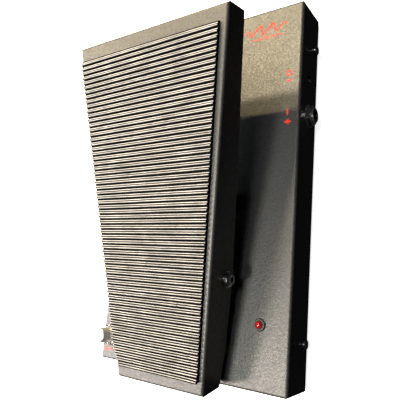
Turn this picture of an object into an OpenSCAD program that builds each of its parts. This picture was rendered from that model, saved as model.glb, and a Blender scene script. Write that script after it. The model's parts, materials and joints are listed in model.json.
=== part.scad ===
// Optical rocker pedal: a flat steel base box, and a tapered treadle that rocks on two pivot brackets.
// Axes: +X right (input side), +Y towards the toe, +Z up.
// Origin: middle of the whole pedal's footprint, on the floor.

/* [Base box] */
// Width of the base box
base_w = 149.5; // [148:0.5:156]
// Length of the base box
base_l = 249.5; // [248:0.5:256]
// Height of the base box's top above the floor
base_top = 31.2; // [31:0.1:33]
// Height of the rubber feet, and of the box's lower edge
foot_h = 4; // [3:0.5:4]
// Thickness of every steel sheet
sheet_t = 1.5; // [1.2:0.1:1.6]
// Outside radius of the bends
bend_r = 1.8; // [1.8:0.1:2.5]

/* [Treadle] */
// Length of the treadle along its top
treadle_l = 221; // [220:1:222]
// Width of the treadle at the toe
toe_w = 120; // [118:1:121]
// Width of the treadle at the heel
heel_w = 67; // [67:0.5:68]
// Slope of the treadle at rest, toe up, in degrees
rest_pitch = 11.5; // [11:0.1:12]
// Skirt depth at the toe
toe_skirt = 17.4; // [16:0.2:18]
// Skirt depth under the pivot, where it is deepest
pivot_skirt = 25.2; // [24.5:0.1:25.5]
// Skirt depth at the heel
heel_skirt = 18; // [17:0.2:18.5]

/* [Pivot] */
// Distance from the base's heel edge to the pivot axis
pivot_from_heel = 63.85; // [63:0.05:65]
// Height of the pivot axis above the floor
pivot_z = 49.7; // [49.5:0.1:50.5]
// Distance from the treadle's heel end to the pivot, along its top
pivot_from_end = 65.2; // [65.2:0.1:65.4]
// Depth of the pivot axis below the treadle's top
pivot_drop = 18.4; // [18:0.1:18.6]
// Radius of the pivot bolts' shanks
pivot_r = 2.5; // [2.4:0.05:2.6]

/* [Treadle mat] */
// Thickness of the mat, ribs included
mat_t = 3.15; // [2.5:0.05:3.5]
// Distance from one rib to the next
rib_pitch = 3.26; // [3.2:0.02:3.4]
// Number of ribs
rib_count = 62; // [50:1:62]
// Width of the groove between two ribs
groove_w = 1.1; // [0.8:0.1:1.4]
// Depth of the groove between two ribs
groove_d = 1.7; // [1:0.1:2]
// How much lower the toe-side half of each rib is
rib_step = 0.65; // [0.4:0.05:0.9]

/* [Jacks and controls] */
// Radius of the jack bores, for a 6.35 mm plug
jack_bore_r = 3.2; // [3.2:0.05:3.3]
// Length of the jack bores
jack_bore_l = 29.4; // [28:0.2:30]
// Distance of the jacks from the base's middle, towards the toe
jack_y = 48.5; // [47:0.5:50]
// Distance of the power jack from the base's middle, towards the toe
power_y = 74; // [73:0.5:76]
// Height of the jacks above the floor
jack_z = 17; // [16.8:0.1:17.4]
// Radius of the footswitch's button
button_r = 5.3; // [5:0.1:5.4]
// Height of the footswitch's button above the base's top
button_h = 14; // [12:0.5:16]
// Radius of the two knobs
knob_r = 6.5; // [6:0.1:7]
// Height of the two knobs
knob_h = 10.5; // [10:0.5:12]

/* [Hidden] */

$fn = 64;
fit = 0.05;          // radial clearance of a running fit
slack = 0.1;         // clearance between two fixed pieces
far = 600;           // more than twice as long as the whole pedal

// Colours
coat = "#26262a";
rubber = "#18181a";
zinc = "#b9bcc0";
chrome = "#d8dadd";
nylon = "#e6e3d8";
black_plastic = "#1c1c1e";

// Where the base lies: the treadle overhangs its heel edge, and the origin is the middle of both
pivot_y_base = pivot_from_heel - base_l / 2;
heel_end_y = pivot_y_base - pivot_from_end * cos(rest_pitch) - pivot_drop * sin(rest_pitch);
overhang = -base_l / 2 - heel_end_y;
base_y = overhang / 2;
under_top = base_top - sheet_t;
floor_top = foot_h + sheet_t;
wall_x = base_w / 2;
inner_x = wall_x - sheet_t;

// The treadle's own frame: origin on the pivot axis, +Y along its top towards the toe
heel_y = -pivot_from_end;
toe_y = treadle_l - pivot_from_end;
taper = atan((toe_w - heel_w) / 2 / treadle_l);
skirt_x = heel_w / 2 + tan(taper) * pivot_from_end;
treadle_under = pivot_drop - sheet_t;
knee_y = 21;         // the skirt's lower edge turns up towards the heel here, from the heel end
knee_skirt = 22.2;

// Mat
mat_left = 1.3;      // margins from the skirts: the mat is glued on a little to the left
mat_right_heel = 3.1;
mat_right_toe = 4.9;
mat_toe = 10.5;
mat_heel = treadle_l - mat_toe - rib_count * rib_pitch;

// Fasteners
side_screw_r = 1.45;
side_screw_z = 9.2;
side_screw_ys = [-96, 98.9];
tab_l = 16;
tab_h = 10;
foot_x = 60;
foot_y = 108;
foot_r = 8;
foot_screw_r = 1.7;
bracket_screw_r = 1.9;

// Pivot, from the middle outwards
ear_t = 2;
ear_x = 34.5;
ear_r = 9;
bush_r = 4;
bush_flange_r = 6;
bush_flange_t = 1.5;
bracket_foot_l = 14.5;
bracket_foot_w = 24;
pivot_nut_t = 3.5;
pivot_nut_af = 8;
pivot_nut_gap = 0.5;
pivot_head_r = 4.4;
pivot_head_t = 2.8;
pivot_face_x = skirt_x + 0.7;

// Return spring
spring_x = -16;
spring_y = -28.6;
spring_r = 8;
spring_wire = 0.8;
spring_turns = 7;
spring_seat_t = 2;
spring_top_z = 68;
seat_r = 11;
seat_boss_r = 6.5;

// Shutter, a ring sector round the pivot axis that dips into the base
vane_x = 16;
vane_t = 1.5;
vane_r_in = 46;
vane_r_out = 56;
vane_tip = -39;      // angle of its leading edge, in the treadle's frame
vane_root = 24;
rivet_r = 1.6;
slot_w = 4.5;
slot_y = -14;
slot_l = 16;

// Light sensor, on each side of the shutter
beam_z = 22;
beam_y = -18.1;
beam_gap = 3.5;
holder_t = 6;
holder_w = 8;
lamp_r = 2.5;
lamp_rim_r = 2.9;
lamp_rim_t = 1;
lamp_back = 0.5;     // the lamp's tip stays this far inside its holder

// Circuit board
board_x = 4;
board_w = 62;
board_y = -40;
board_l = 122;
board_t = 1.6;
standoff_h = 3;
board_z = floor_top + standoff_h;
board_top = board_z + board_t;
board_screw_r = 1.25;
board_holes = [[9, -35], [61, -35], [9, 77], [61, 28]];
chip_spots = [[34, 0], [34, 24]];
capacitor_spots = [[12, 30], [12, 42], [48, 6], [48, -12]];

// Jacks
jack_body = [23.8, 18, 14];
jack_thread_r = 4.75;
jack_reach = 5.15;
jack_washer_r = 7.6;
jack_washer_t = 0.8;
jack_nut_t = 2.7;
jack_nut_af = 12.7;
power_hole_r = 5;
power_bore_r = 2.85;
power_bore_l = 9;
power_pin_r = 1.05;

// Footswitch
switch_x = -66;
switch_y = -107.2;
switch_box = [12.6, 17, 14];
switch_thread_r = 6;
switch_washer_r = 7.4;
switch_washer_t = 0.8;
switch_nut_t = 2.7;
switch_nut_af = 13;
button_low = 28;

// Level and contour controls
pot_x = -62.5;
level_y = 28;
contour_y = -5;
pot_r = 8;
pot_h = 8;
pot_thread_r = 3.4;
pot_washer_r = 5.8;
pot_washer_t = 0.6;
pot_nut_t = 2;
pot_nut_af = 10;
shaft_r = 3;
shaft_low = 23;
knob_z = base_top + 4.2;
shaft_top = knob_z + knob_h - 2;

// Status light
led_x = 55.3;
led_y = -86;
led_r = 2.45;
led_hole_r = 3.3;
led_rim_r = 3.9;
led_rim_h = 1.3;

// Battery, lying on its side
battery_size = [48.5, 26.5, 17.5];
battery_pos = [-62, 72];
clip_t = 1;
clip_w = 14;
clip_h = 14;

// Internal wires: each is a chain of straight runs through points picked by hand
wire_r = 0.8;
wire_sides = 8;
wire_routes = [
    [[-9, 82, 16], [-2, 82, 16], [8, 68, 14], [8, 68, board_top]],
    [[-9, 88, 16], [0, 88, 16], [12, 72, 14], [12, 72, board_top]],
    [[-49, 45, 12], [-30, 40, 8], [-4, 40, 8], [0, 40, 14], [6, 40, 14], [6, 40, board_top]],
    [[-49, 52, 12], [-30, 50, 8], [-4, 50, 8], [0, 50, 14], [6, 50, 14], [6, 50, board_top]],
    [[-59, -104, 16], [-40, -90, 8], [-10, -50, 8], [-2, -30, 13], [7, -26, 13], [7, -26, board_top]],
    [[-59, -110, 16], [-38, -96, 8], [-6, -56, 8], [10, -46, 14], [24, -34, 14], [24, -34, board_top]],
    [[54, -86, 20], [52, -70, 12], [50, -50, 13], [50, -34, 13], [50, -34, board_top]],
    [[56.6, -86, 20], [56, -70, 12], [56, -50, 13], [56, -30, 13], [56, -30, board_top]]
];

// ---------- placing ----------

// Base coordinates have their origin in the middle of the base box's footprint
module on_base() {
    translate([0, base_y, 0]) children();
}

// Treadle coordinates, at rest
module on_treadle() {
    on_base()
        translate([0, pivot_y_base, pivot_z])
            rotate([rest_pitch, 0, 0])
                children();
}

// Once on each side
module both_sides() {
    children();
    mirror([1, 0, 0]) children();
}

// A shape drawn along +Z, laid along +X from x
module along_x(x) {
    translate([x, 0, 0]) rotate([0, 90, 0]) children();
}

module at_jacks() {
    translate([0, jack_y, jack_z]) children();
}

// ---------- shared shapes ----------

module rounded_rect(w, h, r) {
    square([w - 2 * r, h], center = true);
    square([w, h - 2 * r], center = true);
    for (x = [-1, 1])
        for (y = [-1, 1])
            translate([x * (w / 2 - r), y * (h / 2 - r)])
                circle(r);
}

// A box bent from sheet: round along its upright corners and its top edges
module bent_box(w, l, low, high, r) {
    h = 2 * (high - low);
    intersection() {
        translate([0, 0, low])
            linear_extrude(high - low)
                rounded_rect(w, l, r);
        translate([0, l, low])
            rotate([90, 0, 0])
                linear_extrude(2 * l)
                    rounded_rect(w, h, r);
        translate([-w, 0, low])
            rotate([90, 0, 90])
                linear_extrude(2 * w)
                    rounded_rect(l, h, r);
    }
}

module hex_nut(af, t, bore_r) {
    difference() {
        intersection() {
            cylinder(r = af / sqrt(3), h = t, $fn = 6);
            cylinder(r1 = af / sqrt(3) + t - 0.5, r2 = af / sqrt(3) - 0.5, h = t);
        }
        translate([0, 0, -1]) cylinder(r = bore_r, h = t + 2);
    }
}

module washer(r, bore_r, t) {
    difference() {
        cylinder(r = r, h = t);
        translate([0, 0, -1]) cylinder(r = bore_r, h = t + 2);
    }
}

// Pan-head screw: the head stands on z = 0, and the shank points down
module pan_screw(r, l, head_r, head_t) {
    slot_w = 0.7;
    slot_d = head_t * 0.5;
    slot_half = head_r * 0.55;
    round_r = head_t * 0.55;
    round_z = head_t - round_r;
    difference() {
        rotate_extrude()
            difference() {
                union() {
                    square([head_r, round_z]);
                    square([head_r - round_r, head_t]);
                    translate([head_r - round_r, round_z]) circle(round_r);
                }
                translate([-far, -1]) square([far, head_t + 2]);
                translate([0, -1]) square([head_r + 1, 1]);
            }
        for (a = [0, 90])
            rotate(a)
                translate([-slot_half, -slot_w / 2, head_t - slot_d])
                    cube([2 * slot_half, slot_w, head_t]);
    }
    translate([0, 0, -l]) cylinder(r = r, h = l + head_t * 0.3);
}

// The faces of a tube whose points are rings, from ring 0 to ring n, with its two ends closed
function tube_faces(n, sides) = concat(
    [[for (k = [0 : sides - 1]) k]],
    [[for (k = [sides - 1 : -1 : 0]) n * sides + k]],
    [
        for (i = [0 : n - 1])
            for (k = [0 : sides - 1])
                let (a = i * sides + k, b = i * sides + (k + 1) % sides)
                    [a, a + sides, b + sides, b]
    ]
);

// ---------- base ----------

module chassis_shell() {
    color(coat)
    on_base()
    difference() {
        bent_box(base_w, base_l, foot_h, base_top, bend_r);
        bent_box(base_w - 2 * sheet_t, base_l - 2 * sheet_t, foot_h - 1, under_top, bend_r - sheet_t);
        at_jacks() along_x(-far / 2) cylinder(r = jack_thread_r + slack, h = far);
        translate([0, power_y, jack_z]) along_x(0) cylinder(r = power_hole_r, h = far);
        for (y = side_screw_ys)
            translate([0, y, side_screw_z])
                along_x(-far / 2)
                    cylinder(r = side_screw_r + 2 * slack, h = far);
        translate([switch_x, switch_y, under_top - 1])
            cylinder(r = switch_thread_r + slack, h = sheet_t + 2);
        translate([led_x, led_y, under_top - 1])
            cylinder(r = led_hole_r, h = sheet_t + 2);
        for (y = [level_y, contour_y])
            translate([pot_x, y, under_top - 1])
                cylinder(r = pot_thread_r + slack, h = sheet_t + 2);
        both_sides()
            at_bracket_screws()
                translate([0, 0, -ear_t - sheet_t - 1])
                    cylinder(r = bracket_screw_r + slack, h = sheet_t + 2);
        translate([vane_x - slot_w / 2, slot_y - slot_l / 2, under_top - 1])
            cube([slot_w, slot_l, sheet_t + 2]);
    }
}

module bottom_plate() {
    plate_w = base_w - 2 * sheet_t - 4 * slack;
    plate_l = base_l - 2 * sheet_t - 4 * slack;
    color(coat)
    on_base()
    difference() {
        union() {
            translate([0, 0, foot_h])
                linear_extrude(sheet_t)
                    square([plate_w, plate_l], center = true);
            both_sides()
                for (y = side_screw_ys)
                    translate([plate_w / 2 - sheet_t, y - tab_l / 2, foot_h])
                        cube([sheet_t, tab_l, tab_h]);
        }
        for (y = side_screw_ys)
            translate([0, y, side_screw_z])
                along_x(-far / 2)
                    cylinder(r = side_screw_r + slack, h = far);
        at_feet()
            translate([0, 0, foot_h - 1])
                cylinder(r = foot_screw_r + slack, h = sheet_t + 2);
    }
}

module at_feet() {
    for (x = [-foot_x, foot_x])
        for (y = [-foot_y, foot_y])
            translate([x, y, 0])
                children();
}

module rubber_feet() {
    recess_r = 4.2;
    recess_h = foot_h / 2;
    color(rubber)
    on_base()
    at_feet()
    difference() {
        cylinder(r1 = foot_r, r2 = foot_r + 1, h = foot_h);
        translate([0, 0, -1]) cylinder(r = recess_r, h = recess_h + 1);
        translate([0, 0, -1]) cylinder(r = foot_screw_r + slack, h = foot_h + 2);
    }
}

module foot_screws() {
    head_r = 3.6;
    head_t = 1.6;
    color(zinc)
    on_base()
    at_feet()
    translate([0, 0, foot_h / 2])
    rotate([180, 0, 0])
    pan_screw(foot_screw_r, foot_h + 1, head_r, head_t);
}

module chassis_screws() {
    head_r = 3.3;
    head_t = 2;
    color(zinc)
    on_base()
    both_sides()
    for (y = side_screw_ys)
        translate([wall_x, y, side_screw_z])
            rotate([0, 90, 0])
                pan_screw(side_screw_r, 7, head_r, head_t);
}

module heel_bumpers() {
    bumper_r = 5;
    bumper_x = 30.5;
    bumper_y = -103.5;
    bumper_h = 5.5;
    color(rubber)
    on_base()
    both_sides()
    translate([bumper_x, bumper_y, base_top])
    cylinder(r1 = bumper_r, r2 = bumper_r - 0.8, h = bumper_h);
}

module toe_bumper() {
    bumper_r = 9;
    bumper_y = 70;
    bumper_h = 20;
    dimple_r = 3;
    dimple_d = 3;
    color(rubber)
    on_base()
    translate([0, bumper_y, base_top])
    difference() {
        cylinder(r1 = bumper_r, r2 = bumper_r - 2, h = bumper_h);
        translate([0, 0, bumper_h - dimple_d]) cylinder(r = dimple_r, h = dimple_d + 1);
    }
}

// ---------- pivot ----------

// Where the bracket screws' heads stand, on the right side
module at_bracket_screws() {
    screw_y = 7;
    screw_in = 6.5;
    for (y = [-screw_y, screw_y])
        translate([ear_x - screw_in, pivot_y_base + y, base_top + ear_t])
            children();
}

module on_pivot() {
    on_base()
        translate([0, pivot_y_base, pivot_z])
            children();
}

module pivot_brackets() {
    foot_z = base_top - pivot_z;
    color(coat)
    both_sides()
    difference() {
        on_pivot()
        union() {
            translate([ear_x + ear_t - bracket_foot_l, -bracket_foot_w / 2, foot_z])
                cube([bracket_foot_l, bracket_foot_w, ear_t]);
            translate([ear_x, -ear_r, foot_z])
                cube([ear_t, 2 * ear_r, -foot_z]);
            along_x(ear_x) cylinder(r = ear_r, h = ear_t);
        }
        on_pivot() along_x(ear_x - 1) cylinder(r = bush_r + slack / 2, h = ear_t + 2);
        on_base()
            at_bracket_screws()
                translate([0, 0, -far / 2])
                    cylinder(r = bracket_screw_r + slack, h = far);
    }
}

module bracket_screws() {
    head_r = 3.4;
    head_t = 2;
    color(zinc)
    on_base()
    both_sides()
    at_bracket_screws()
    pan_screw(bracket_screw_r, 8, head_r, head_t);
}

module bracket_nuts() {
    nut_af = 7;
    nut_t = 3;
    color(zinc)
    on_base()
    both_sides()
    at_bracket_screws()
    translate([0, 0, -ear_t - sheet_t - nut_t])
    hex_nut(nut_af, nut_t, bracket_screw_r + slack);
}

module pivot_bushes() {
    color(nylon)
    both_sides()
    on_pivot()
    difference() {
        union() {
            along_x(ear_x) cylinder(r = bush_r, h = ear_t);
            along_x(ear_x + ear_t) cylinder(r = bush_flange_r, h = bush_flange_t);
        }
        along_x(ear_x - 1) cylinder(r = pivot_r + fit, h = ear_t + bush_flange_t + 2);
    }
}

module pivot_bolts() {
    shank_low = ear_x - pivot_nut_t - 1;
    rim_t = pivot_head_t / 2;
    crown_r = pivot_head_r * 0.7;
    socket_af = 3;
    socket_x = pivot_face_x + pivot_head_t * 0.4;
    color(zinc)
    both_sides()
    on_treadle()
    difference() {
        union() {
            along_x(shank_low) cylinder(r = pivot_r, h = pivot_face_x - shank_low + 1);
            along_x(pivot_face_x) cylinder(r = pivot_head_r, h = rim_t);
            along_x(pivot_face_x + rim_t) cylinder(r1 = pivot_head_r, r2 = crown_r, h = pivot_head_t - rim_t);
        }
        along_x(socket_x) cylinder(r = socket_af / sqrt(3), h = pivot_head_t, $fn = 6);
    }
}

// Wedge washers: flat under the bolt's head, and sloped to lie on the tapered skirt
module pivot_washers() {
    washer_r = 5;
    color(zinc)
    both_sides()
    on_treadle()
    difference() {
        along_x(skirt_x - 1) washer(washer_r, pivot_r + slack, pivot_face_x - skirt_x + 1);
        skirt_space();
    }
}

module pivot_nuts() {
    color(zinc)
    both_sides()
    on_treadle()
    along_x(ear_x - pivot_nut_t - pivot_nut_gap)
    hex_nut(pivot_nut_af, pivot_nut_t, pivot_r);
}

// ---------- treadle ----------

// Everything left of the right skirt's plane and below the top, with a bend between them
module skirt_space() {
    bend = far - bend_r;
    translate([heel_w / 2, heel_y, 0])
    rotate([0, 0, -taper])
    translate([0, far / 2, 0])
    rotate([90, 0, 0])
    linear_extrude(far)
    translate([-far, pivot_drop - far])
    union() {
        square([far, bend]);
        square([bend, far]);
        translate([bend, bend]) circle(bend_r);
    }
}

// The side view's outline, extruded across the treadle
module side_space() {
    top = pivot_drop;
    r = bend_r;
    translate([-far / 2, 0, 0])
    rotate([90, 0, 90])
    linear_extrude(far)
    union() {
        polygon([
            [heel_y, top - heel_skirt],
            [heel_y + knee_y, top - knee_skirt],
            [0, top - pivot_skirt],
            [toe_y, top - toe_skirt],
            [toe_y, top - r],
            [toe_y - r, top],
            [heel_y + r, top],
            [heel_y, top - r]
        ]);
        translate([heel_y + r, top - r]) circle(r);
        translate([toe_y - r, top - r]) circle(r);
    }
}

module treadle_outside() {
    intersection() {
        side_space();
        skirt_space();
        mirror([1, 0, 0]) skirt_space();
    }
}

// The hollow under the top, a sheet's thickness inside the skirts and the end lips
module treadle_hollow() {
    back = heel_y + sheet_t;
    front = toe_y - sheet_t;
    side = sheet_t / cos(taper);
    back_x = skirt_x + tan(taper) * back - side;
    front_x = skirt_x + tan(taper) * front - side;
    translate([0, 0, treadle_under - far])
        linear_extrude(far)
            polygon([[-back_x, back], [back_x, back], [front_x, front], [-front_x, front]]);
}

module treadle_shell() {
    color(coat)
    on_treadle()
    difference() {
        treadle_outside();
        treadle_hollow();
        along_x(-far / 2) cylinder(r = pivot_r + slack, h = far);
        at_rivets() translate([0, 0, -1]) cylinder(r = rivet_r + slack / 2, h = sheet_t + 2);
    }
}

// Each rib has a groove on its toe side and a lower toe-side half; a thin lip lies before the first one
module treadle_mat() {
    back = heel_y + mat_heel;
    first = toe_y - mat_toe;
    front = first + groove_w / 2 - slack;
    back_x = skirt_x + tan(taper) * back;
    front_x = skirt_x + tan(taper) * front;
    color(rubber)
    on_treadle()
    difference() {
        translate([0, 0, pivot_drop])
            linear_extrude(mat_t)
                polygon([
                    [mat_left - back_x, back],
                    [back_x - mat_right_heel, back],
                    [front_x - mat_right_toe, front],
                    [mat_left - front_x, front]
                ]);
        for (k = [0 : rib_count - 1])
            translate([-toe_w / 2, first - k * rib_pitch, pivot_drop + mat_t]) {
                translate([0, -groove_w / 2, -groove_d]) cube([toe_w, groove_w, groove_d + 1]);
                translate([0, -rib_pitch / 2, -rib_step]) cube([toe_w, rib_pitch / 2, rib_step + 1]);
            }
    }
}

// ---------- return spring ----------

module spring_seat() {
    color(black_plastic)
    on_base()
    translate([spring_x, spring_y, base_top])
    union() {
        cylinder(r = seat_r, h = spring_seat_t);
        cylinder(r = seat_boss_r, h = spring_seat_t + 5);
    }
}

// Its lower face is level at rest, and its upper face lies on the sloping treadle
module spring_cap() {
    color(black_plastic)
    difference() {
        on_base()
            translate([spring_x, spring_y, spring_top_z])
                union() {
                    cylinder(r = seat_r, h = 20);
                    translate([0, 0, -5]) cylinder(r = seat_boss_r, h = 20);
                }
        on_treadle() translate([-far / 2, -far / 2, treadle_under]) cube(far);
    }
}

// A closed coil: a small octagon swept along a helix, with its end turns pressed flat
function coil_z(t, h) = h * (t < 1 ? 0 : t > spring_turns - 1 ? 1 : (t - 1) / (spring_turns - 2));
function coil_ring(t, h, sides) = [
    for (k = [0 : sides - 1])
        let (a = 360 * t, b = 360 * k / sides, r = spring_r + spring_wire * cos(b))
            [r * cos(a), r * sin(a), coil_z(t, h) + spring_wire * sin(b)]
];

module return_spring() {
    sides = 8;
    per_turn = 20;
    rings = spring_turns * per_turn;
    low = base_top + spring_seat_t + spring_wire;
    h = spring_top_z - spring_wire - low;
    flat = 2 * spring_wire + 0.1;
    points = [
        for (i = [0 : rings])
            let (t = i / per_turn, lift = flat * min(t, 1) + flat * max(t - spring_turns + 1, 0))
                for (p = coil_ring(t, h - 2 * flat, sides))
                    p + [0, 0, lift]
    ];
    color(zinc)
    on_base()
    translate([spring_x, spring_y, low])
    polyhedron(points, tube_faces(rings, sides));
}

// ---------- shutter and light sensor ----------

module at_rivets() {
    for (y = [42, 52])
        translate([vane_x + 8, y, treadle_under])
            children();
}

module shutter_vane() {
    flange_w = 14;
    flange_l = 20;
    flange_y = 37;
    wedge = [
        [0, 0],
        [far * cos(vane_tip), far * sin(vane_tip)],
        [far * cos(vane_root), far * sin(vane_root)]
    ];
    color(zinc)
    on_treadle()
    difference() {
        union() {
            intersection() {
                along_x(vane_x - vane_t / 2)
                    difference() {
                        cylinder(r = vane_r_out, h = vane_t, $fn = 128);
                        translate([0, 0, -1]) cylinder(r = vane_r_in, h = vane_t + 2, $fn = 128);
                    }
                translate([vane_x - vane_t, 0, 0])
                    rotate([90, 0, 90])
                        linear_extrude(2 * vane_t)
                            polygon(wedge);
                translate([-far / 2, -far / 2, treadle_under - far]) cube(far);
            }
            translate([vane_x - vane_t / 2, flange_y, treadle_under - vane_t])
                cube([flange_w, flange_l, vane_t]);
        }
        at_rivets() translate([0, 0, -vane_t - 1]) cylinder(r = rivet_r + slack / 2, h = vane_t + 2);
    }
}

module vane_rivets() {
    head_r = 2.8;
    head_t = 1.2;
    color(zinc)
    on_treadle()
    at_rivets()
    translate([0, 0, -vane_t])
    union() {
        translate([0, 0, -head_t]) cylinder(r1 = head_r * 0.7, r2 = head_r, h = head_t);
        cylinder(r = rivet_r, h = vane_t + sheet_t);
    }
}

module sensor_holders() {
    holder_h = beam_z + 5 - board_top;
    color(black_plastic)
    on_base()
    for (side = [-1, 1])
        translate([vane_x + side * (beam_gap + holder_t / 2), beam_y, board_top])
            difference() {
                translate([-holder_t / 2, -holder_w / 2, 0]) cube([holder_t, holder_w, holder_h]);
                translate([0, 0, beam_z - board_top])
                    along_x(-holder_t)
                        cylinder(r = lamp_r + fit, h = 2 * holder_t);
            }
}

module sensor_lamp() {
    color("#e8e8e0")
    on_base()
    translate([vane_x + beam_gap, beam_y, beam_z])
    union() {
        along_x(lamp_back) cylinder(r = lamp_r, h = holder_t - lamp_back);
        along_x(holder_t) cylinder(r = lamp_rim_r, h = lamp_rim_t);
    }
}

module photocell() {
    color("#a8542f")
    on_base()
    translate([vane_x - beam_gap, beam_y, beam_z])
    union() {
        along_x(-holder_t) cylinder(r = lamp_r, h = holder_t - lamp_rim_t);
        along_x(-holder_t - lamp_rim_t) cylinder(r = lamp_rim_r, h = lamp_rim_t);
    }
}

// ---------- circuit board ----------

module at_board_holes() {
    for (p = board_holes)
        translate([p[0], p[1], 0])
            children();
}

module circuit_board() {
    hole_r = 1.6;
    vane_slot_y = -36;
    vane_slot_l = 29;
    color("#1f5a34")
    on_base()
    difference() {
        translate([board_x, board_y, board_z]) cube([board_w, board_l, board_t]);
        at_board_holes() translate([0, 0, board_z - 1]) cylinder(r = hole_r, h = board_t + 2);
        translate([vane_x - slot_w / 2, vane_slot_y, board_z - 1]) cube([slot_w, vane_slot_l, board_t + 2]);
    }
}

module board_standoffs() {
    outer_r = 3;
    color(zinc)
    on_base()
    at_board_holes()
    translate([0, 0, floor_top])
    washer(outer_r, board_screw_r + slack / 2, standoff_h);
}

module board_screws() {
    head_r = 2.6;
    head_t = 1.6;
    color(zinc)
    on_base()
    at_board_holes()
    translate([0, 0, board_top])
    pan_screw(board_screw_r, standoff_h + board_t - 0.5, head_r, head_t);
}

module board_chips() {
    chip = [9.8, 6.4, 3.4];
    chip_gap = 0.6;
    leg_pitch = 2.54;
    leg_w = 0.6;
    leg_h = 2;
    color(black_plastic)
    on_base()
    for (p = chip_spots)
        translate([p[0], p[1], board_top])
            union() {
                translate([-chip[0] / 2, -chip[1] / 2, chip_gap]) cube(chip);
                for (x = [-1.5 : 1 : 1.5])
                    for (y = [-1, 1])
                        translate([x * leg_pitch - leg_w / 2, y * (chip[1] / 2 + slack) - leg_w / 2, 0])
                            cube([leg_w, leg_w, leg_h]);
            }
}

module board_capacitors() {
    can_r = 3;
    can_h = 9;
    color("#20304f")
    on_base()
    for (p = capacitor_spots)
        translate([p[0], p[1], board_top])
            cylinder(r = can_r, h = can_h);
}

// ---------- jacks ----------

// A closed quarter-inch socket behind the right wall: its bore is blind
module jack() {
    mouth = wall_x + jack_reach;
    difference() {
        union() {
            translate([inner_x - slack - jack_body[0], -jack_body[1] / 2, -jack_body[2] / 2 + slack])
                cube([jack_body[0], jack_body[1], jack_body[2] - slack]);
            along_x(inner_x - 1) cylinder(r = jack_thread_r, h = mouth - inner_x + 1);
        }
        along_x(mouth - jack_bore_l) cylinder(r = jack_bore_r, h = far);
    }
}

module input_jack() {
    color(black_plastic)
    on_base()
    at_jacks()
    jack();
}

module output_jack() {
    color(black_plastic)
    on_base()
    at_jacks()
    mirror([1, 0, 0])
    jack();
}

module jack_washers() {
    color(chrome)
    on_base()
    both_sides()
    at_jacks()
    along_x(wall_x)
    washer(jack_washer_r, jack_thread_r + slack, jack_washer_t);
}

module jack_nuts() {
    color(chrome)
    on_base()
    both_sides()
    at_jacks()
    along_x(wall_x + jack_washer_t)
    rotate(30)
    hex_nut(jack_nut_af, jack_nut_t, jack_thread_r + slack / 2);
}

module power_jack() {
    body = [13, 10, 12];
    nose_r = 4.6;
    color(black_plastic)
    on_base()
    translate([0, power_y, jack_z])
    difference() {
        union() {
            translate([inner_x - slack - body[0], -body[1] / 2, -body[2] / 2]) cube(body);
            along_x(inner_x - 1) cylinder(r = nose_r, h = sheet_t + 1 - slack);
        }
        along_x(inner_x - power_bore_l) cylinder(r = power_bore_r, h = far);
    }
}

module power_jack_pin() {
    color(chrome)
    on_base()
    translate([0, power_y, jack_z])
    union() {
        along_x(inner_x - power_bore_l) cylinder(r = power_pin_r, h = power_bore_l);
        along_x(inner_x) sphere(power_pin_r);
    }
}

// ---------- footswitch ----------

module at_switch() {
    on_base()
        translate([switch_x, switch_y, 0])
            children();
}

module footswitch_body() {
    box_top = under_top - slack;
    thread_top = base_top + switch_washer_t + switch_nut_t;
    color(black_plastic)
    at_switch()
    difference() {
        union() {
            translate([-switch_box[0] / 2, -switch_box[1] / 2, box_top - switch_box[2]])
                cube(switch_box);
            translate([0, 0, box_top - 1])
                cylinder(r = switch_thread_r, h = thread_top - box_top + 1);
        }
        translate([0, 0, button_low - 4]) cylinder(r = button_r + fit, h = far);
    }
}

module footswitch_washer() {
    color(chrome)
    at_switch()
    translate([0, 0, base_top])
    washer(switch_washer_r, switch_thread_r + slack, switch_washer_t);
}

module footswitch_nut() {
    color(chrome)
    at_switch()
    translate([0, 0, base_top + switch_washer_t])
    hex_nut(switch_nut_af, switch_nut_t, switch_thread_r);
}

module footswitch_button() {
    rim = 0.8;
    top = base_top + button_h;
    color(chrome)
    at_switch()
    union() {
        translate([0, 0, button_low]) cylinder(r = button_r, h = top - rim - button_low);
        translate([0, 0, top - rim]) cylinder(r1 = button_r, r2 = button_r - rim, h = rim);
    }
}

// ---------- level and contour controls ----------

module at_pot(y) {
    on_base()
        translate([pot_x, y, 0])
            children();
}

module pot(y) {
    body_top = under_top - slack;
    thread_top = base_top + pot_washer_t + pot_nut_t + 1;
    color(zinc)
    at_pot(y)
    difference() {
        union() {
            translate([0, 0, body_top - pot_h]) cylinder(r = pot_r, h = pot_h);
            translate([0, 0, body_top - 1])
                cylinder(r = pot_thread_r, h = thread_top - body_top + 1);
        }
        translate([0, 0, shaft_low - 0.5]) cylinder(r = shaft_r + fit, h = far);
    }
}

module level_pot() {
    pot(level_y);
}

module contour_pot() {
    pot(contour_y);
}

module pot_washers() {
    color(zinc)
    for (y = [level_y, contour_y])
        at_pot(y)
            translate([0, 0, base_top])
                washer(pot_washer_r, pot_thread_r + slack, pot_washer_t);
}

module pot_nuts() {
    color(zinc)
    for (y = [level_y, contour_y])
        at_pot(y)
            translate([0, 0, base_top + pot_washer_t])
                hex_nut(pot_nut_af, pot_nut_t, pot_thread_r);
}

module control_shaft(y) {
    color(zinc)
    at_pot(y)
    translate([0, 0, shaft_low])
    cylinder(r = shaft_r, h = shaft_top - shaft_low);
}

module level_shaft() {
    control_shaft(level_y);
}

module contour_shaft() {
    control_shaft(contour_y);
}

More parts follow.
